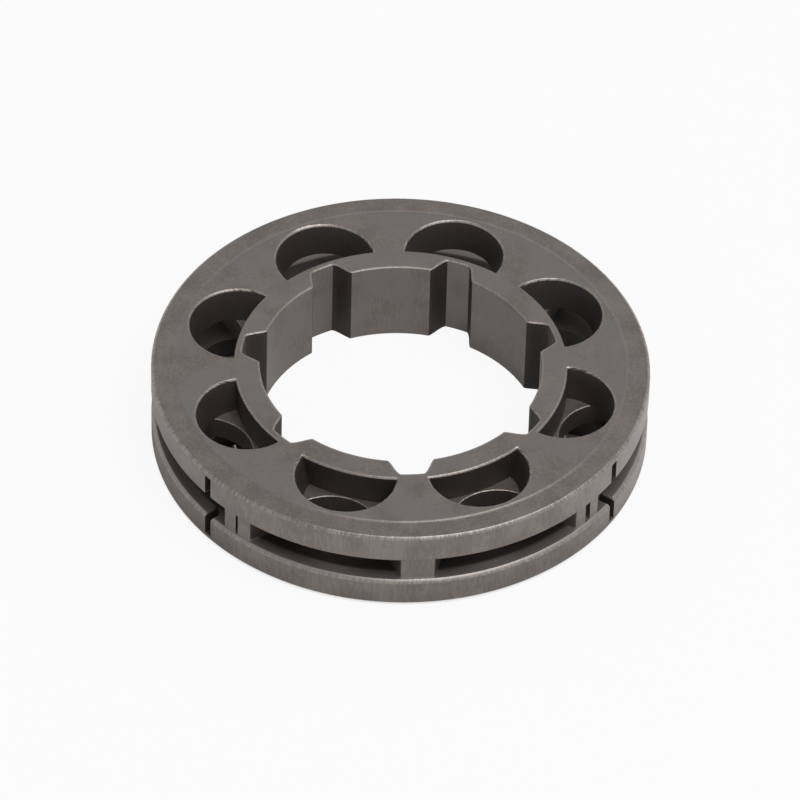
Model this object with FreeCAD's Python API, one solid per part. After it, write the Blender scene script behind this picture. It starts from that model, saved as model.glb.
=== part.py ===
import FreeCAD, Part
import math
import os

# Chainsaw rim sprocket: one steel ring whose two rails carry the tie straps of the chain. The teeth
# between the rails drive the chain's links, and a splined bore lets the ring float on its drum.
# Millimetres, +Z along the bore, origin at the bore's centre on the lower face. One tooth and one
# spline groove lie on -Y, and the ring is the same on both faces, so it can be turned over.

# Ring
OUTER_DIAMETER = 35.0      # over the rails
WIDTH = 6.5                # from face to face
BAND_WIDTH = 1.65          # sloped margin of each face, in from the rail's outside
BAND_DROP = 0.1            # fall of that margin at the rail's outside
RIM_EDGE = 0.2             # broken edges of the rails

# Teeth between the rails
TOOTH_COUNT = 8
SLOT_WIDTH = 2.0           # clear width between the rails, for the drive links
TOOTH_RECESS = 0.28        # tooth tips in from the rails' outside
TOOTH_TIP_WIDTH = 2.2      # tooth at its tip, before its corners are rounded
TOOTH_CORNER = 0.35        # rounding of those corners
GULLET_RADIUS = 3.35       # round bottom between two teeth
ROOT_LEDGE = 0.15          # gullet bottom out from the hub

# Splined bore
SPLINE_COUNT = 7
LAND_DIAMETER = 19.8       # bore across the lands
GROOVE_DEPTH = 1.25        # groove floor out from the lands
GROOVE_MOUTH_WIDTH = 3.0   # groove at the lands
GROOVE_FLOOR_WIDTH = 1.7   # groove at its floor
SPLINE_CORNER = 0.35       # rounding of the lands' corners
BORE_EDGE = 0.2            # broken edge where the bore meets the faces
HUB_WALL = 0.55            # metal between a groove's floor and the pockets

# Pockets that open each gullet to both faces
RAIL_WIDTH = 1.95          # rail left outside a pocket, at the face
POCKET_RADIUS = 3.55       # pocket at the face
POCKET_DRAFT = 15.0        # taper of its wall, in degrees
POCKET_SINK = 0.15         # pocket floor past the rail's inner side, into the teeth

# Tooling marks beside the two front flank teeth
NOTCH_ANGLE = 53.6         # notch from the front tooth, in degrees, on either side
NOTCH_WIDTH = 0.6
NOTCH_DEPTH = 1.2
NOTCH_MARGIN = 0.4         # rail left above and below a notch
SEAM_WIDTH = 0.3           # slit down the middle of a flank tooth's tip
SEAM_DEPTH = 0.3

# Room by which a cutting shape runs past the metal that it cuts
OVERRUN = 1.0

outer_radius = OUTER_DIAMETER / 2
tip_radius = outer_radius - TOOTH_RECESS
middle = WIDTH / 2
slot_floor = middle - SLOT_WIDTH / 2
slot_ceiling = middle + SLOT_WIDTH / 2
land_radius = LAND_DIAMETER / 2
groove_radius = land_radius + GROOVE_DEPTH
hub_radius = groove_radius + HUB_WALL
gullet_centre = hub_radius + ROOT_LEDGE + GULLET_RADIUS
pocket_centre = outer_radius - RAIL_WIDTH - POCKET_RADIUS
tooth_pitch = 360.0 / TOOTH_COUNT
spline_pitch = 360.0 / SPLINE_COUNT
FRONT = -90.0              # direction of the front tooth, in degrees from +X

AXIS = FreeCAD.Vector(0, 0, 1)
ORIGIN = FreeCAD.Vector(0, 0, 0)


def polar(radius, degrees, z=0.0):
    angle = math.radians(degrees)
    return FreeCAD.Vector(radius * math.cos(angle), radius * math.sin(angle), z)


def half_angle(width, radius):
    return math.degrees(math.asin(width / 2 / radius))


def revolved(profile):
    """Solid of revolution about Z from (radius, height) corners."""
    corners = [FreeCAD.Vector(radius, 0, height) for radius, height in profile]
    face = Part.Face(Part.makePolygon(corners + corners[:1]))
    return face.revolve(ORIGIN, AXIS, 360)


def turned(shape, degrees):
    copy = shape.copy()
    copy.rotate(ORIGIN, AXIS, degrees)
    return copy


def flat_edges(shape, height):
    return [edge for edge in shape.Edges
            if abs(edge.BoundBox.ZMin - height) < 1e-6 and abs(edge.BoundBox.ZMax - height) < 1e-6]


def reach(edge):
    """Farthest that an edge's ends lie from the axis."""
    return max(math.hypot(vertex.X, vertex.Y) for vertex in edge.Vertexes)


# Blank: a plain ring with a sloped margin and a broken edge round each face
def blank():
    band_inside = outer_radius - BAND_WIDTH
    rim_inside = outer_radius - RIM_EDGE
    rim_drop = BAND_DROP * (BAND_WIDTH - RIM_EDGE) / BAND_WIDTH
    wall_start = BAND_DROP + RIM_EDGE
    inside = land_radius - OVERRUN
    return revolved([
        (inside, 0),
        (band_inside, 0),
        (rim_inside, rim_drop),
        (outer_radius, wall_start),
        (outer_radius, WIDTH - wall_start),
        (rim_inside, WIDTH - rim_drop),
        (band_inside, WIDTH),
        (inside, WIDTH),
    ])


# Splined bore: round lands with grooves between them that narrow towards their floors
def spline_core():
    mouth = half_angle(GROOVE_MOUTH_WIDTH, land_radius)
    floor = half_angle(GROOVE_FLOOR_WIDTH, groove_radius)
    edges = []
    for index in range(SPLINE_COUNT):
        groove = FRONT + index * spline_pitch
        land_start = polar(land_radius, groove + mouth)
        land_middle = polar(land_radius, groove + spline_pitch / 2)
        land_end = polar(land_radius, groove + spline_pitch - mouth)
        floor_start = polar(groove_radius, groove - floor)
        floor_middle = polar(groove_radius, groove)
        floor_end = polar(groove_radius, groove + floor)
        edges.append(Part.makeLine(polar(land_radius, groove - mouth), floor_start))
        edges.append(Part.Arc(floor_start, floor_middle, floor_end).toShape())
        edges.append(Part.makeLine(floor_end, land_start))
        edges.append(Part.Arc(land_start, land_middle, land_end).toShape())
    outline = Part.Face(Part.Wire(edges))
    core = outline.extrude(AXIS * (WIDTH + 2 * OVERRUN))
    on_lands = land_radius + GROOVE_DEPTH / 2
    corners = [edge for edge in core.Edges if edge.BoundBox.ZLength > WIDTH and reach(edge) < on_lands]
    core = core.makeFillet(SPLINE_CORNER, corners)
    core.translate(AXIS * -OVERRUN)
    return core


def bored(ring):
    ring = ring.cut(spline_core())
    faces = flat_edges(ring, 0) + flat_edges(ring, WIDTH)
    mouths = [edge for edge in faces if reach(edge) < hub_radius]
    return ring.makeChamfer(BORE_EDGE, mouths)


# Groove round the ring, between the rails and down to the tooth tips. It opens out at its mouth, which
# breaks the rails' inner edges.
def slot():
    flare = RIM_EDGE + OVERRUN
    return revolved([
        (tip_radius, slot_floor),
        (outer_radius - RIM_EDGE, slot_floor),
        (outer_radius + OVERRUN, slot_floor - flare),
        (outer_radius + OVERRUN, slot_ceiling + flare),
        (outer_radius - RIM_EDGE, slot_ceiling),
        (tip_radius, slot_ceiling),
    ])


# Gullet: a round bottom with straight flanks that run out to the rounded corners of two teeth
def gullet():
    tip = polar(tip_radius, tooth_pitch / 2 - half_angle(TOOTH_TIP_WIDTH, tip_radius))
    centre = FreeCAD.Vector(gullet_centre, 0, 0)
    to_tip = tip - centre
    touch_angle = math.degrees(math.atan2(to_tip.y, to_tip.x) + math.acos(GULLET_RADIUS / to_tip.Length))
    touch = centre + polar(GULLET_RADIUS, touch_angle)
    into_tooth = polar(1, touch_angle)
    along_flank = polar(1, touch_angle - 90)
    # The corner's centre lies its own radius in from the flank and from the circle of the tips
    aside = touch.dot(into_tooth) + TOOTH_CORNER
    ahead = math.sqrt((tip_radius - TOOTH_CORNER) ** 2 - aside ** 2)
    corner = into_tooth * aside + along_flank * ahead
    outward = math.degrees(math.atan2(corner.y, corner.x))
    on_flank = corner - into_tooth * TOOTH_CORNER
    on_corner = corner + polar(TOOTH_CORNER, (outward + touch_angle - 180) / 2)
    on_tip = polar(tip_radius, outward)
    outside = polar(outer_radius + OVERRUN, outward)
    upper = [outside, on_tip, on_corner, on_flank, touch]
    far_outside, far_tip, far_corner, far_flank, far_touch = [FreeCAD.Vector(p.x, -p.y, 0) for p in upper]
    root = FreeCAD.Vector(gullet_centre - GULLET_RADIUS, 0, 0)
    outline = Part.Wire([
        Part.makeLine(outside, on_tip),
        Part.Arc(on_tip, on_corner, on_flank).toShape(),
        Part.makeLine(on_flank, touch),
        Part.Arc(touch, root, far_touch).toShape(),
        Part.makeLine(far_touch, far_flank),
        Part.Arc(far_flank, far_corner, far_tip).toShape(),
        Part.makeLine(far_tip, far_outside),
        Part.makeLine(far_outside, outside),
    ])
    column = Part.Face(outline).extrude(AXIS * SLOT_WIDTH)
    column.translate(AXIS * slot_floor)
    return column


# Pocket: a tapered round recess in the upper face, cut short by the hub that it leaves standing
def pocket():
    taper = math.tan(math.radians(POCKET_DRAFT))
    floor = slot_ceiling - POCKET_SINK
    top = WIDTH + OVERRUN
    cone = revolved([
        (0, floor),
        (POCKET_RADIUS - (WIDTH - floor) * taper, floor),
        (POCKET_RADIUS + OVERRUN * taper, top),
        (0, top),
    ])
    cone.translate(FreeCAD.Vector(pocket_centre, 0, 0))
    return cone.cut(Part.makeCylinder(hub_radius, top))


# Tooling marks: a notch across both rails, and a slit down a tooth's tip
def mark(width, depth, low, high):
    bar = Part.makeBox(depth + OVERRUN, width, high - low)
    bar.translate(FreeCAD.Vector(outer_radius - depth, -width / 2, low))
    return bar


def rim_sprocket():
    upper_pocket = pocket()
    lower_pocket = upper_pocket.mirror(AXIS * middle, AXIS)
    between_teeth = gullet()
    cuts = [slot()]
    for index in range(TOOTH_COUNT):
        direction = FRONT + (index + 0.5) * tooth_pitch
        cuts += [turned(shape, direction) for shape in (between_teeth, upper_pocket, lower_pocket)]
    notch_low = BAND_DROP + NOTCH_MARGIN
    notch = mark(NOTCH_WIDTH, NOTCH_DEPTH, notch_low, WIDTH - notch_low)
    seam = mark(SEAM_WIDTH, TOOTH_RECESS + SEAM_DEPTH, slot_floor, slot_ceiling)
    for side in (-1, 1):
        cuts.append(turned(notch, FRONT + side * NOTCH_ANGLE))
        cuts.append(turned(seam, FRONT + side * tooth_pitch))
    return bored(blank()).cut(cuts).removeSplitter()


body = rim_sprocket()
print("rim_sprocket: solids %d, valid %s, volume %.1f mm3" % (len(body.Solids), body.isValid(), body.Volume))
os.makedirs("parts", exist_ok=True)
body.Solids[0].exportStep("parts/rim_sprocket.step")
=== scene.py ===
import bpy
import math
from mathutils import Matrix, Vector


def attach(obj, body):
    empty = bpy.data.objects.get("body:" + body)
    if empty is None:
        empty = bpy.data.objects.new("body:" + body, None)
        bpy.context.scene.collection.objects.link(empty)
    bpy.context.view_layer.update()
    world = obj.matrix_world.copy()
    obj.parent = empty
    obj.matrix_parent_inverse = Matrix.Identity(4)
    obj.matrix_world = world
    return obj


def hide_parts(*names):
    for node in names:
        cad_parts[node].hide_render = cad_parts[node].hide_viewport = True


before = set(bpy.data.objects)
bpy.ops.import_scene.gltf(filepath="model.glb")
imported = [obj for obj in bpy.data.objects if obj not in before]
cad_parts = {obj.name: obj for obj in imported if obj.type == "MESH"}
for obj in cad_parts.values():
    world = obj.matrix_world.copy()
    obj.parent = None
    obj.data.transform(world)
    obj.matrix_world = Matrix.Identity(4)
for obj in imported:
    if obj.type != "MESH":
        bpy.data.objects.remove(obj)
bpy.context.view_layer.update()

# Rim sprocket: one ring of dark tumbled steel, pressed whole, with two rails, teeth in the slot between
# them, tapered pockets through both faces and a splined bore. A rule in millimetres lays out the blank
# and everything that is taken out of it, with its worn edges.
rule = bpy.data.node_groups.new("rim_sprocket_rule", "GeometryNodeTree")
rule.interface.new_socket("Sprocket", in_out="OUTPUT", socket_type="NodeSocketGeometry")
sizes = rule.nodes.new("NodeGroupInput")
set_sizes = {}


class Term:
    """A number inside the rule, so that its sums can be written as sums."""

    def __init__(self, socket):
        self.socket = socket

    def __add__(self, other):
        return maths("ADD", self, other)

    def __radd__(self, other):
        return maths("ADD", other, self)

    def __sub__(self, other):
        return maths("SUBTRACT", self, other)

    def __rsub__(self, other):
        return maths("SUBTRACT", other, self)

    def __mul__(self, other):
        return maths("MULTIPLY", self, other)

    def __rmul__(self, other):
        return maths("MULTIPLY", other, self)

    def __truediv__(self, other):
        return maths("DIVIDE", self, other)

    def __neg__(self):
        return maths("MULTIPLY", self, -1.0)


def plug(value, slot):
    if isinstance(value, Term):
        value = value.socket
    if isinstance(value, bpy.types.NodeSocket):
        slot.id_data.links.new(value, slot)
    else:
        slot.default_value = value


def add(kind, inputs, tree=rule, **settings):
    node = tree.nodes.new(kind)
    for name, value in settings.items():
        setattr(node, name, value)
    for name, value in inputs.items():
        plug(value, node.inputs[name])
    return node


def maths(operation, *values):
    """One step of a sum, in the tree that its terms belong to."""
    tree = next((value.socket.id_data for value in values if isinstance(value, Term)), rule)
    node = tree.nodes.new("ShaderNodeMath")
    node.operation = operation
    for slot, value in zip(node.inputs, values):
        plug(value, slot)
    return Term(node.outputs[0])


def size(name, value):
    kind = "NodeSocketInt" if isinstance(value, int) else "NodeSocketFloat"
    entry = rule.interface.new_socket(name, in_out="INPUT", socket_type=kind)
    set_sizes[entry.identifier] = value
    return Term(sizes.outputs[name])


def pick(which, choices):
    """One of the choices, which are numbers or terms, by its place among them."""
    node = rule.nodes.new("GeometryNodeIndexSwitch")
    node.data_type = "FLOAT"
    while len(node.index_switch_items) < len(choices):
        node.index_switch_items.new()
    plug(which, node.inputs["Index"])
    for slot, value in zip(list(node.inputs)[1:], choices):
        plug(value, slot)
    return Term(node.outputs[0])


def cos(angle):
    return maths("COSINE", angle)


def sin(angle):
    return maths("SINE", angle)


def placed(mesh, x, y, z):
    """The mesh with its points moved to the given sums."""
    point = add("ShaderNodeCombineXYZ", {"X": x, "Y": y, "Z": z})
    moved = add("GeometryNodeSetPosition", {"Geometry": mesh, "Position": point.outputs[0]})
    return moved.outputs[0]


SAME_POINT = 0.0005


def joined(*meshes):
    """Meshes made one, with the points merged where they meet."""
    node = rule.nodes.new("GeometryNodeJoinGeometry")
    for mesh in meshes:
        rule.links.new(mesh, node.inputs[0])
    merged = add("GeometryNodeMergeByDistance", {"Geometry": node.outputs[0], "Distance": SAME_POINT})
    return merged.outputs[0]


def index():
    return Term(rule.nodes.new("GeometryNodeInputIndex").outputs[0])


def sheet(around, levels):
    """A grid of points, with the step round it and the level up it of each point."""
    grid = add("GeometryNodeMeshGrid", {"Vertices X": around + 1, "Vertices Y": levels})
    place = index()
    step = maths("FLOOR", (place + 0.5) / levels)
    level = place - step * levels
    return grid.outputs["Mesh"], step, level


def turned(profile, around):
    """A ring turned from (radius, height) corners."""
    corners = profile + profile[:1]
    grid, step, level = sheet(around, len(corners))
    angle = (step + 0.5) * (2 * math.pi / around)
    radius = pick(level, [corner[0] for corner in corners])
    height = pick(level, [corner[1] for corner in corners])
    return joined(placed(grid, radius * cos(angle), radius * sin(angle), height))


def lofted(outline, points, levels):
    """A closed block through outlines, from levels of (height, the outline's own sizes)."""
    grid, step, level = sheet(points, len(levels))
    heights = [entry[0] for entry in levels]
    shapes = [pick(level, choices) for choices in zip(*(entry[1:] for entry in levels))]
    x, y = outline(maths("MODULO", step, float(points)), *shapes)
    parts = [placed(grid, x, y, pick(level, heights))]
    for entry, faces_down in ((levels[0], True), (levels[-1], False)):
        disc = add("GeometryNodeMeshCircle", {"Vertices": points}, fill_type="NGON").outputs["Mesh"]
        if faces_down:
            disc = add("GeometryNodeFlipFaces", {"Mesh": disc}).outputs["Mesh"]
        x, y = outline(index(), *entry[1:])
        parts.append(placed(disc, x, y, entry[0]))
    return joined(*parts)


def spun(mesh, angle):
    turn = add("ShaderNodeCombineXYZ", {"Z": angle})
    return add("GeometryNodeTransform", {"Geometry": mesh, "Rotation": turn.outputs[0]}).outputs[0]


def spread(mesh, count, start):
    """Copies of a mesh round the axis, the first at the start angle."""
    points = add("GeometryNodePoints", {"Count": count}).outputs[0]
    angle = index() * (2 * math.pi / count) + start
    euler = add("ShaderNodeCombineXYZ", {"Z": angle})
    turn = add("FunctionNodeEulerToRotation", {"Euler": euler.outputs[0]})
    copies = add("GeometryNodeInstanceOnPoints",
                 {"Points": points, "Instance": mesh, "Rotation": turn.outputs[0]})
    return add("GeometryNodeRealizeInstances", {"Geometry": copies.outputs[0]}).outputs[0]


def without(mesh, cutter):
    node = add("GeometryNodeMeshBoolean", {"Mesh 1": mesh}, operation="DIFFERENCE", solver="EXACT")
    rule.links.new(cutter, node.inputs["Mesh 2"])
    return node.outputs["Mesh"]


def combined(operation, first, second):
    """The union of two meshes, or what they share."""
    node = add("GeometryNodeMeshBoolean", {}, operation=operation, solver="EXACT")
    rule.links.new(first, node.inputs["Mesh 2"])
    rule.links.new(second, node.inputs["Mesh 2"])
    return node.outputs["Mesh"]


# A worn edge is a quarter round. Each step of it has gone some way in from the wall and still lies some
# way under the face, as shares of the edge's radius. A run-out carries a cutter past the edge.
EDGE_STEPS = 4
turns = [step * math.pi / 2 / EDGE_STEPS for step in range(EDGE_STEPS + 1)]
quarter = [(1 - math.cos(turn), 1 - math.sin(turn)) for turn in turns]


def run_out(last, before):
    return tuple(2 * here - there for here, there in zip(last, before))


# Edges that rub on other parts are worn flatter than that: a slope with a short curve at each end.
worn_flat = [(0.0, 1.0), (0.08, 0.72), (0.72, 0.08), (1.0, 0.0)]
up_over_face = worn_flat[:-1] + [run_out(worn_flat[-1], worn_flat[-2])]
up_to_face = quarter[:-1] + [run_out(quarter[-1], quarter[-2])]
down_to_wall = [run_out(worn_flat[0], worn_flat[1])] + worn_flat[1:]

# What the whole ring shares. A cutter runs past the metal by the overrun.
FRONT = -math.pi / 2
TEETH = 8
SPLINES = 7
OVERRUN = 1.0
RING_STEPS = 168
tooth_pitch = 2 * math.pi / TEETH
spline_pitch = 2 * math.pi / SPLINES
outer_radius = size("Outer radius", 17.5)
width = size("Width", 6.5)

# The blank's section: flat faces, a fine raised line where each sloped margin starts, and the margin. The
# line's own section runs inwards, as widths out from the margin's inside and heights under the line's top.
LINE_SECTION = [(0.9, 4.0), (0.45, 3.2), (0.15, 1.2), (-0.15, 0.0), (-0.5, 0.3), (-0.9, 1.0)]
band_width = size("Margin width", 1.65)
band_drop = size("Margin drop", 0.1)
line_height = size("Raised line height", 0.02)
line_width = size("Raised line width", 0.3)
upper_rim = size("Upper rim edge", 0.22)
lower_rim = size("Lower rim edge", 0.18)
land_radius = size("Land radius", 9.9)
band_inside = outer_radius - band_width
inside = land_radius - OVERRUN
face = width - line_height


def half_section(rim):
    """The upper half of the ring's section, from its outside in, with a rim of that radius."""
    edge = [(outer_radius - rim * inward, width - band_drop - rim * under) for inward, under in worn_flat]
    line = [(band_inside + line_width * out, width - line_height * under) for out, under in LINE_SECTION]
    return edge + line + [(inside, face)]


lower_section = [(radius, width - height) for radius, height in reversed(half_section(lower_rim))]
blank = turned(lower_section + half_section(upper_rim), RING_STEPS)

# The splined bore: round lands, with grooves whose flanks run steep and slightly curved from land to floor
groove_depth = size("Groove depth", 1.3)
floor_half_angle = size("Groove floor half angle", math.radians(30 / 7))
land_start_angle = size("Land start angle", math.radians(65 / 7))
bore_edge = size("Bore edge", 0.2)
bore_edge_depth = size("Bore edge depth", 0.06)
BORE_POINTS = SPLINES * 72
NEAR_ITS_ENDS = 0.01


def bore_outline(step, grown):
    """The bore grown square to its wall. A flank falls half as a straight slope, half as a smooth step."""
    angle = step * (2 * math.pi / BORE_POINTS)
    within = maths("MODULO", angle + spline_pitch / 2, spline_pitch) - spline_pitch / 2
    flank = land_start_angle - floor_half_angle
    along = (maths("ABSOLUTE", within) - floor_half_angle) / flank
    along = maths("MINIMUM", maths("MAXIMUM", along, 0.0), 1.0)
    radius = land_radius + groove_depth * (1.0 - along * (1.0 + along * (3.0 - along * 2.0)) / 2.0)
    flank_shade = maths("GREATER_THAN", along * (1.0 - along), NEAR_ITS_ENDS)
    steepness = flank_shade * (0.5 + along * (1.0 - along) * 3.0)
    slope = -(steepness * groove_depth / flank * maths("SIGN", within))
    length = maths("SQRT", radius * radius + slope * slope)
    out = radius + grown * radius / length
    aside = grown * slope / length
    across = cos(angle + FRONT)
    ahead = sin(angle + FRONT)
    return out * across + aside * ahead, out * ahead - aside * across


upper_mouth = [(face - bore_edge_depth * under, bore_edge * inward) for inward, under in up_over_face]
lower_mouth = [(width - height, grown) for height, grown in reversed(upper_mouth)]
bore = lofted(bore_outline, BORE_POINTS, lower_mouth + upper_mouth)

# The gullets between the teeth: a round bottom with flanks that run straight out to the rounded corners
# of the tips. The tips lie a little in from the rails, so the slot is an open groove all round.
slot_width = size("Slot width", 2.0)
upper_slot_edge = size("Upper slot edge", 0.1)
lower_slot_edge = size("Lower slot edge", 0.28)
tooth_recess = size("Tooth recess", 0.28)
tip_width = size("Tooth tip width", 2.4)
tip_corner = size("Tooth corner", 0.28)
gullet_radius = size("Gullet radius", 3.35)
gullet_centre = size("Gullet centre", 15.2)
ARC_STEPS = 28
CORNER_STEPS = 6
CORNER_PROUD = 0.02
GULLET_POINTS = ARC_STEPS + 2 * CORNER_STEPS + 5
HALF_WAY = GULLET_POINTS // 2 + 1
tip_radius = outer_radius - tooth_recess
tip_angle = tooth_pitch / 2 - maths("ARCSINE", tip_width / 2 / tip_radius)
tip_x = tip_radius * cos(tip_angle) - gullet_centre
tip_y = tip_radius * sin(tip_angle)
tip_away = maths("SQRT", tip_x * tip_x + tip_y * tip_y)
touch_angle = maths("ARCTAN2", tip_y, tip_x) + maths("ARCCOSINE", gullet_radius / tip_away)
corner_away = tip_radius - tip_corner + CORNER_PROUD
corner_aside = gullet_centre * cos(touch_angle) + gullet_radius + tip_corner
corner_angle = touch_angle - maths("ARCCOSINE", corner_aside / corner_away)
clear = outer_radius + OVERRUN * 2.0


def gullet_outline(step):
    """Both halves of a gullet, each from outside over a tooth's corner to the middle of the bottom."""
    along = maths("MAXIMUM", maths("MINIMUM", step - 1.0, GULLET_POINTS - step), 0.0)
    past_half = maths("GREATER_THAN", maths("ABSOLUTE", step - (HALF_WAY + 1) / 2), HALF_WAY / 2)
    past_corner = (along - 1.0) / CORNER_STEPS
    past_flank = (along - (CORNER_STEPS + 2.0)) / (ARC_STEPS / 2)
    round_corner = corner_angle + (touch_angle - math.pi - corner_angle) * past_corner
    round_bottom = touch_angle + (math.pi - touch_angle) * past_flank
    part = maths("GREATER_THAN", along, 0.5) + maths("GREATER_THAN", along, CORNER_STEPS + 1.5)
    x = pick(part, [clear * cos(corner_angle),
                    corner_away * cos(corner_angle) + tip_corner * cos(round_corner),
                    gullet_centre + gullet_radius * cos(round_bottom)])
    y = pick(part, [clear * sin(corner_angle),
                    corner_away * sin(corner_angle) + tip_corner * sin(round_corner),
                    gullet_radius * sin(round_bottom)])
    return x, y * (1.0 - past_half * 2.0)


slot_floor = (width - slot_width) / 2.0
slot_ceiling = (width + slot_width) / 2.0


def slot_side(edge):
    """One side of the slot from the inside out, as (radius, depth into the rail)."""
    side = [(outer_radius - edge * inward, edge * under) for inward, under in reversed(down_to_wall)]
    return [(land_radius, 0.0)] + side + [(outer_radius + OVERRUN, side[-1][1])]


lower_side = [(radius, slot_floor - depth) for radius, depth in slot_side(lower_slot_edge)]
upper_side = [(radius, slot_ceiling + depth) for radius, depth in slot_side(upper_slot_edge)]
slot = turned(lower_side + upper_side[::-1], RING_STEPS)
below = slot_floor - OVERRUN
above = slot_ceiling + OVERRUN
column = lofted(gullet_outline, GULLET_POINTS, [(below, ), (above, )])
gullets = spread(column, TEETH, FRONT + tooth_pitch / 2)
past_rail = outer_radius + OVERRUN * 3.0
past_tips = turned([(tip_radius, below - OVERRUN), (past_rail, below - OVERRUN),
                    (past_rail, above + OVERRUN), (tip_radius, above + OVERRUN)], RING_STEPS)
gullets = combined("INTERSECT", combined("UNION", gullets, past_tips), slot)

# The pockets over the gullets: round, tapered, and cut short by the hub, so each is a D
hub_radius = size("Hub radius", 11.7)
pocket_radius = size("Pocket radius", 3.55)
pocket_centre = size("Pocket centre", 12.0)
pocket_taper = size("Pocket taper", math.tan(math.radians(15)))
pocket_sink = size("Pocket sink", 0.15)
pocket_edge = size("Pocket edge", 0.15)
ledge_edge = size("Ledge edge", 0.12)
POCKET_STEPS = 48
HUB_STEPS = 16


def pocket_outline(step, radius, hub):
    """A round from one side of the hub to the other, and back along the hub."""
    meet_x = (pocket_centre * pocket_centre + hub * hub - radius * radius) / (pocket_centre * 2.0)
    hub_angle = maths("ARCCOSINE", meet_x / hub)
    sweep = maths("ARCTAN2", hub * sin(hub_angle), meet_x - pocket_centre)
    round_angle = sweep * ((step / POCKET_STEPS) * 2.0 - 1.0)
    back_angle = hub_angle * (1.0 - ((step - POCKET_STEPS) / HUB_STEPS) * 2.0)
    on_hub = maths("GREATER_THAN", step, POCKET_STEPS + 0.5)
    x = pick(on_hub, [pocket_centre + radius * cos(round_angle), hub * cos(back_angle)])
    y = pick(on_hub, [radius * sin(round_angle), hub * sin(back_angle)])
    return x, y


pocket_floor = slot_ceiling - pocket_sink
floor_radius = pocket_radius - (face - pocket_floor) * pocket_taper
edge_radius = pocket_radius - pocket_edge * pocket_taper
upper_levels = [(pocket_floor, floor_radius, hub_radius)]
for inward, under in up_over_face:
    worn_away = pocket_edge * inward
    upper_levels.append((face - pocket_edge * under, edge_radius + worn_away, hub_radius - worn_away))
lower_levels = [(width - height, radius, hub) for height, radius, hub in reversed(upper_levels)]
pockets = []
for levels in (upper_levels, lower_levels):
    pocket = lofted(pocket_outline, POCKET_STEPS + HUB_STEPS, levels)
    pockets.append(spread(pocket, TEETH, FRONT + tooth_pitch / 2))

# The ledges that the pockets leave round the bottoms of the gullets, with their edges worn
LEDGE_STEPS = 64
OFF_THE_WALL = 0.02


def ledge_outline(step, grown):
    angle = step * (2 * math.pi / LEDGE_STEPS)
    radius = gullet_radius + grown - OFF_THE_WALL
    return gullet_centre + radius * cos(angle), radius * sin(angle)


upper_ledge = [(pocket_floor - ledge_edge * under, ledge_edge * inward) for inward, under in up_to_face]
lower_ledge = [(width - height, grown) for height, grown in reversed(upper_ledge)]
ledge = lofted(ledge_outline, LEDGE_STEPS, lower_ledge + upper_ledge)
over_floor = lofted(pocket_outline, POCKET_STEPS + HUB_STEPS,
                    [(below, floor_radius, hub_radius), (above, floor_radius, hub_radius)])
ledges = spread(combined("INTERSECT", ledge, over_floor), TEETH, FRONT + tooth_pitch / 2)

# Tooling marks: a notch across both rails beside each flank tooth, and a slit down that tooth's tip
notch_angle = size("Notch angle", math.radians(53.6))
notch_width = size("Notch width", 0.6)
notch_depth = size("Notch depth", 1.2)
notch_margin = size("Notch margin", 0.5)
notch_edge = size("Notch edge", 0.15)
seam_depth = size("Seam depth", 0.3)
left_seam = size("Left seam width", 0.2)
right_seam = size("Right seam width", 0.5)
seam_bottom = tip_radius - seam_depth
notch_bottom = outer_radius - notch_depth
BAR_CORNERS = 4


def bar_outline(step, start, half):
    x = pick(step, [start, clear, clear, start])
    y = pick(step, [-half, -half, half, half])
    return x, y


half_notch = notch_width / 2.0
lower_notch = [(notch_margin, notch_bottom, half_notch)]
lower_notch += [(slot_floor - notch_edge * under, notch_bottom, half_notch + notch_edge * inward)
                for inward, under in up_to_face]
upper_notch = [(width - height, start, half) for height, start, half in reversed(lower_notch)]
notch = lofted(bar_outline, BAR_CORNERS, lower_notch + upper_notch)
marks = []
for side, seam_width in ((-1.0, left_seam), (1.0, right_seam)):
    marks.append(spun(notch, FRONT + notch_angle * side))
    half_seam = seam_width / 2.0
    seam = lofted(bar_outline, BAR_CORNERS,
                  [(slot_floor, seam_bottom, half_seam), (slot_ceiling, seam_bottom, half_seam)])
    marks.append(spun(seam, FRONT + tooth_pitch * side))

# The blank loses each of these in turn, and the specks that the cuts leave are merged away
SPECK = 0.001
cut = blank
for cutter in (bore, gullets, *pockets, ledges, joined(*marks)):
    cut = without(cut, cutter)
whole = add("GeometryNodeMergeByDistance", {"Geometry": cut, "Distance": SPECK}).outputs[0]

# Faces run smoothly into each other round the worn edges, and break at the sharp corners that are left
SHARP = math.radians(35)
bend = Term(rule.nodes.new("GeometryNodeInputMeshEdgeAngle").outputs["Unsigned Angle"])
whole = add("GeometryNodeSetShadeSmooth", {"Geometry": whole}).outputs[0]
gentle = maths("LESS_THAN", bend, SHARP)
whole = add("GeometryNodeSetShadeSmooth", {"Geometry": whole, "Shade Smooth": gentle},
            domain="EDGE").outputs[0]

steel = bpy.data.materials.new("tumbled_steel")
whole = add("GeometryNodeRealizeInstances", {"Geometry": whole}).outputs[0]
whole = add("GeometryNodeSetMaterial", {"Geometry": whole, "Material": steel}).outputs[0]
ending = rule.nodes.new("NodeGroupOutput")
rule.links.new(whole, ending.inputs[0])

sprocket = bpy.data.objects.new("rim_sprocket_body", bpy.data.meshes.new("rim_sprocket_body"))
bpy.context.scene.collection.objects.link(sprocket)
layout = sprocket.modifiers.new("rule", "NODES")
layout.node_group = rule
for identifier, value in set_sizes.items():
    layout[identifier] = value
even = sprocket.modifiers.new("even faces", "WEIGHTED_NORMAL")
even.keep_sharp = True
seen = sprocket.evaluated_get(bpy.context.evaluated_depsgraph_get())
sprocket.data = bpy.data.meshes.new_from_object(seen)
sprocket.modifiers.clear()
MILLIMETRE = 0.001
sprocket.data.transform(Matrix.Scale(MILLIMETRE, 4))
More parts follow.
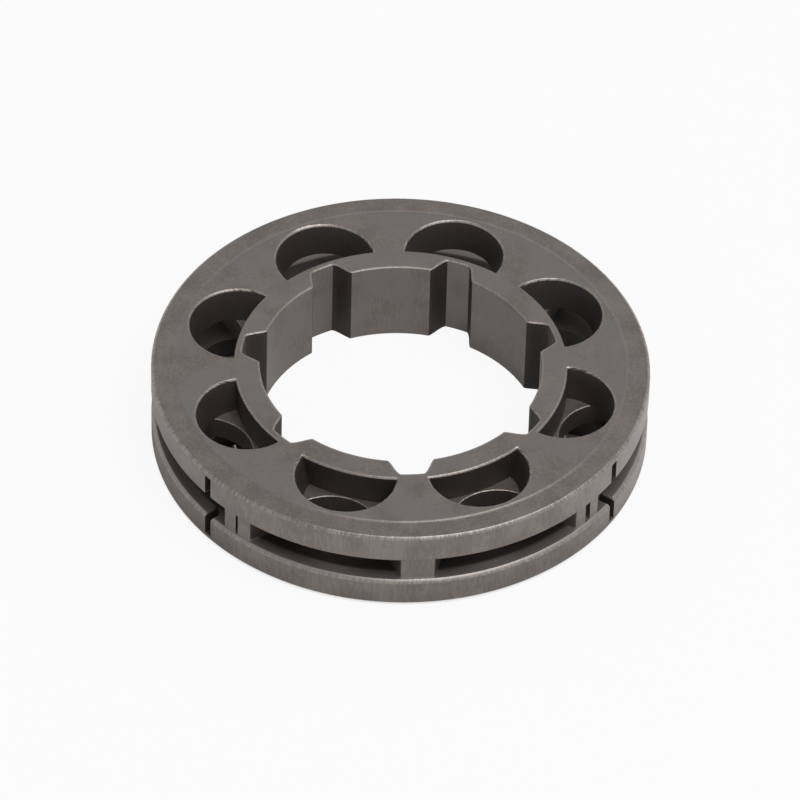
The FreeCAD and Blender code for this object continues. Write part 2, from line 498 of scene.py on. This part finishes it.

# The steel: dark and warm, with a fine grain that runs along the bore, clouds of tone and greyer patches.
# Inside the slot and the pockets it keeps a dull skin from pressing, darkened there and on the flanks far
# past it as painted shade, and its edges are rubbed bright in streaks that carry painted highlights too.
steel.use_nodes = True
paint = steel.node_tree
shader = paint.nodes["Principled BSDF"]
place = add("ShaderNodeTexCoord", {}, paint).outputs["Object"]


NOISE_DETAIL = 3.0


def noise_over(vector):
    texture = add("ShaderNodeTexNoise", {"Vector": vector, "Scale": 1.0, "Detail": NOISE_DETAIL}, paint)
    return Term(texture.outputs["Fac"])


def noise(scale, stretch=(1, 1, 1)):
    """Noise over the piece, with its scale in features a millimetre."""
    across = [scale / MILLIMETRE * share for share in stretch]
    mapping = add("ShaderNodeMapping", {"Vector": place, "Scale": across}, paint)
    return noise_over(mapping.outputs[0])


def between(value, low, high):
    """How far a value has gone from low to high, held at 0 and 1."""
    ramp = add("ShaderNodeMapRange", {"Value": value, "From Min": low, "From Max": high},
               value.socket.id_data, interpolation_type="SMOOTHSTEP")
    return Term(ramp.outputs[0])


def in_span(value, start, end):
    """1 from start to end and 0 outside, where each end is the pair of values that it fades over."""
    return between(value, *start) * (1.0 - between(value, *end))


def parts_of(vector):
    node = add("ShaderNodeSeparateXYZ", {"Vector": vector}, vector.id_data)
    return [Term(part) for part in node.outputs]


def from_axis(x, y):
    """The radius, in millimetres."""
    return maths("SQRT", x * x + y * y) / MILLIMETRE


def mixed(share, first, second):
    """The first colour, with that share of the second."""
    node = add("ShaderNodeMix", {}, paint, data_type="RGBA")
    plug(share, node.inputs[0])
    for slot, colour in ((node.inputs[6], first), (node.inputs[7], second)):
        plug(colour, slot)
    return node.outputs[2]


# Where each finish and each painted shade and light lies, in millimetres out from the axis and up from the
# lower face
POCKET_LEVELS = ((0.1, 0.2), (6.3, 6.4))
POCKET_END = (15.7, 16.0)
SLOT_LEVELS = ((2.0, 2.2), (4.3, 4.5))
SLOT_END = (16.3, 16.6)
HUB_SIDE = (11.4, 11.6)
LINE_SPAN = ((15.72, 15.78), (16.1, 16.2))
MARGIN_START = (15.8, 16.1)
LEDGE_LEVEL = (3.4, 3.8)
LIT_FLOOR_START = (16.4, 16.7)
LIT_FLOOR_LEVELS = ((2.0, 2.2), (2.3, 2.5))
x, y, z = parts_of(place)
radius = from_axis(x, y)
level = z / MILLIMETRE
in_pocket = in_span(level, *POCKET_LEVELS) * (1.0 - between(radius, *POCKET_END))
in_slot = in_span(level, *SLOT_LEVELS) * (1.0 - between(radius, *SLOT_END))
in_recess = maths("MAXIMUM", in_pocket, in_slot) * between(radius, *HUB_SIDE)
on_line = in_span(radius, *LINE_SPAN)
# Painted light: a band of the lower slot floor near its edge is painted lighter, where the lamp reaches
# into the slot
lit_slot_floor = between(radius, *LIT_FLOOR_START) * in_span(level, *LIT_FLOOR_LEVELS)

# Which way the metal faces: round the axis on a flank, slanting on a worn edge, up on a ledge
FACES_ROUND = (0.45, 0.7)
SLANTS = (0.05, 0.16)
FACES_UP = (0.5, 0.8)
sideways, forward, upright = parts_of(add("ShaderNodeNewGeometry", {}, paint).outputs["Normal"])
round_axis = maths("ABSOLUTE", sideways * y - forward * x) / (radius * MILLIMETRE)
# Faces that turn round the axis are marked for painted shade
flank_shade = between(round_axis, *FACES_ROUND)
slant = 1.0 - maths("ABSOLUTE", upright * upright * 2.0 - 1.0)
on_ledge = between(upright, *FACES_UP) * between(level, *LEDGE_LEVEL)

# The rubbed streaks, which also break up the painted highlights, run across the edges: many to a radian
# round the axis, few to a millimetre along
STREAKS_ROUND = 150.0
STREAKS_ALONG = 0.6
STREAK_SPREAD = (0.36, 0.64)
LIT_FLOOR_SHARE = 0.7
across_edges = add("ShaderNodeCombineXYZ", {"X": maths("ARCTAN2", y, x) * STREAKS_ROUND,
                                            "Y": level * STREAKS_ALONG,
                                            "Z": radius * STREAKS_ALONG}, paint)
streaks = between(noise_over(across_edges.outputs[0]), *STREAK_SPREAD)
# Slanting worn edges are painted lighter in streaks: rubbed metal and a painted highlight together
worn = between(slant, *SLANTS) * (1.0 - on_line) * (1.0 - in_recess * (1.0 - on_ledge))
rubbed_and_highlit = maths("MAXIMUM", worn * streaks, lit_slot_floor * LIT_FLOOR_SHARE)

# Colour, gloss and relief, from the plain metal up: grain and clouds, grey patches, pressed skin and
# painted shade, rubbing and painted highlights
DARK_STEEL = (0.195, 0.169, 0.152, 1)
PLAIN_STEEL = (0.272, 0.236, 0.214, 1)
GREY_STEEL = (0.235, 0.222, 0.212, 1)
RUBBED_AND_HIGHLIT_STEEL = (0.355, 0.325, 0.3, 1)
SKIN_AND_SHADE_STEEL = (0.055, 0.048, 0.044, 1)
GRAIN_SCALE = 6.5
ALONG_BORE = (1, 1, 0.2)
CLOUD_SCALE = 0.5
TONE_SPREAD = (0.34, 0.66)
PATCH_SCALE = 0.3
PATCH_SPREAD = (0.4, 0.56)
PATCH_SHARE = 0.7
LEDGE_LESS_SHADE = 0.7
SKIN_AND_SHADE_SHARE = 0.9
grain = noise(GRAIN_SCALE, ALONG_BORE)
cloud = noise(CLOUD_SCALE)
tone = between(grain * 0.5 + cloud * 0.5, *TONE_SPREAD)
colour = mixed(tone, DARK_STEEL, PLAIN_STEEL)
grey_patch = between(noise(PATCH_SCALE), *PATCH_SPREAD) * (1.0 - between(radius, *MARGIN_START))
colour = mixed(grey_patch * PATCH_SHARE, colour, GREY_STEEL)
# Painted shade: pocket and slot insides and the flanks go much darker than a pressed skin would, and
# ledges facing up keep less of it, as painted light from above
skin_and_shade = maths("MAXIMUM", in_recess * (1.0 - on_ledge * LEDGE_LESS_SHADE), flank_shade)
colour = mixed(skin_and_shade * SKIN_AND_SHADE_SHARE, colour, SKIN_AND_SHADE_STEEL)
colour = mixed(rubbed_and_highlit, colour, RUBBED_AND_HIGHLIT_STEEL)
plug(colour, shader.inputs["Base Color"])
shader.inputs["Metallic"].default_value = 0.7
SMOOTHEST = 0.3
GRAIN_DULLS = 0.14
PRESSING_DULLS = 0.2
plug(SMOOTHEST + grain * GRAIN_DULLS + skin_and_shade * PRESSING_DULLS, shader.inputs["Roughness"])
STREAK_RELIEF = 0.5
RELIEF_DEPTH = 0.02
RELIEF_STRENGTH = 0.3
relief = grain + worn * streaks * STREAK_RELIEF
bump = add("ShaderNodeBump", {"Height": relief, "Strength": RELIEF_STRENGTH,
                              "Distance": RELIEF_DEPTH * MILLIMETRE}, paint)
plug(bump.outputs[0], shader.inputs["Normal"])
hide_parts("rim_sprocket")
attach(sprocket, "root")

# Table: a plain white sheet under the ring. The camera sees it white up to the ring's own shade. In the
# steel's reflections it glows dim close to the ring, a painted shadow, and brightest on the right, a
# painted light towards the lamp.
FLOOR_HALF = 1.5
floor_mesh = bpy.data.meshes.new("table")
corners = [(x * FLOOR_HALF, y * FLOOR_HALF, 0) for x, y in ((-1, -1), (1, -1), (1, 1), (-1, 1))]
floor_mesh.from_pydata(corners, [], [(0, 1, 2, 3)])
floor = bpy.data.objects.new("table", floor_mesh)
bpy.context.scene.collection.objects.link(floor)
white = bpy.data.materials.new("white_table")
white.use_nodes = True
sheet_paint = white.node_tree
matt = sheet_paint.nodes["Principled BSDF"]
matt.inputs["Base Color"].default_value = (0.55, 0.55, 0.55, 1)
matt.inputs["Roughness"].default_value = 0.9
RING_SHADE = ((11.3, 11.9), (16.8, 17.6))
RIGHT_SIDE = (13.5, 16.5)
PAST_RIM = (17.2, 18.4)
RIGHT_SHARE = 0.9
IN_THE_CLEAR = (17.5, 24.0)
CLEAR_SHARE = 0.6
CLOSE_SHARE = 0.1
WHITE_SHARE = 0.92
path = add("ShaderNodeLightPath", {}, sheet_paint)
x, y, z = parts_of(add("ShaderNodeTexCoord", {}, sheet_paint).outputs["Object"])
away = from_axis(x, y)
in_the_open = 1.0 - in_span(away, *RING_SHADE)
# Painted light on the right and painted shadow close to the ring, seen only in the steel's reflections
painted_light_right = between(x / MILLIMETRE, *RIGHT_SIDE) * between(away, *PAST_RIM)
painted_reflection_light = maths("MAXIMUM", between(away, *IN_THE_CLEAR) * CLEAR_SHARE, painted_light_right * RIGHT_SHARE)
in_reflections = Term(path.outputs["Is Glossy Ray"]) * (CLOSE_SHARE + painted_reflection_light)
shown = Term(path.outputs["Is Camera Ray"]) + Term(path.outputs["Is Transmission Ray"]) + in_reflections
shown = maths("MINIMUM", shown, 1.0) * in_the_open
glow = add("ShaderNodeEmission", {"Color": (1, 1, 1, 1), "Strength": 1.0}, sheet_paint)
blend = add("ShaderNodeMixShader", {"Fac": shown * WHITE_SHARE}, sheet_paint)
sheet_paint.links.new(matt.outputs[0], blend.inputs[1])
sheet_paint.links.new(glow.outputs[0], blend.inputs[2])
sheet_paint.links.new(blend.outputs[0], sheet_paint.nodes["Material Output"].inputs["Surface"])
floor_mesh.materials.append(white)

# Room: a white backdrop low down all round, under walls that darken upwards, with one soft lamp high up
# at the front right
world = bpy.data.worlds.new("room")
bpy.context.scene.world = world
world.use_nodes = True
room = world.node_tree
BACKDROP_TOP = (math.sin(math.radians(3)), math.sin(math.radians(12)))
WALL_TOP = (math.sin(math.radians(28)), math.sin(math.radians(60)))
WALL_DIMS = 0.42
CEILING_DIMS = 0.28
x, y, height = parts_of(add("ShaderNodeTexCoord", {}, room).outputs["Generated"])
strength = 1.0 - between(height, *BACKDROP_TOP) * WALL_DIMS - between(height, *WALL_TOP) * CEILING_DIMS
plug(strength, room.nodes["Background"].inputs["Strength"])
room.nodes["Background"].inputs["Color"].default_value = (1, 1, 1, 1)

LAMP_AWAY = 0.6
LAMP_SIZE = 0.46
LAMP_POWER = 2.7
LAMP_AZIMUTH = math.radians(45)
LAMP_ELEVATION = math.radians(70)
lamp_data = bpy.data.lights.new("soft_lamp", "AREA")
lamp_data.size = LAMP_SIZE
lamp_data.energy = LAMP_POWER
lamp = bpy.data.objects.new("soft_lamp", lamp_data)
bpy.context.scene.collection.objects.link(lamp)
lamp.location = (LAMP_AWAY * math.sin(LAMP_AZIMUTH) * math.cos(LAMP_ELEVATION),
                 -LAMP_AWAY * math.cos(LAMP_AZIMUTH) * math.cos(LAMP_ELEVATION),
                 LAMP_AWAY * math.sin(LAMP_ELEVATION))
lamp.rotation_euler = (math.pi / 2 - LAMP_ELEVATION, 0, LAMP_AZIMUTH)

# Camera: a long lens that looks down on the ring from the front, a little to one side and a little
# tilted, as the photograph's does
camera = bpy.data.objects.new("camera", bpy.data.cameras.new("camera"))
bpy.context.scene.collection.objects.link(camera)
bpy.context.scene.camera = camera
AZIMUTH = math.radians(-5.18)
ELEVATION = math.radians(43.479)
ROLL = math.radians(1.5367)
DISTANCE = 0.4888
AIM = Vector((0, 0, 0.0001))
MOVED_RIGHT = 0.000067
MOVED_UP = 0.002
camera.data.sensor_width = 36.0
camera.data.lens = 311.0
toward = Vector((math.sin(AZIMUTH) * math.cos(ELEVATION), -math.cos(AZIMUTH) * math.cos(ELEVATION),
                 math.sin(ELEVATION)))
level_right = Vector((math.cos(AZIMUTH), math.sin(AZIMUTH), 0))
level_up = toward.cross(level_right)
right = level_right * math.cos(ROLL) + level_up * math.sin(ROLL)
up = level_up * math.cos(ROLL) - level_right * math.sin(ROLL)
spot = AIM + toward * DISTANCE + right * MOVED_RIGHT + up * MOVED_UP
turn = Matrix((right, up, toward)).transposed().to_4x4()
camera.matrix_world = Matrix.Translation(spot) @ turn
camera.data.clip_start = 0.01

scene = bpy.context.scene
scene.view_settings.view_transform = "Standard"
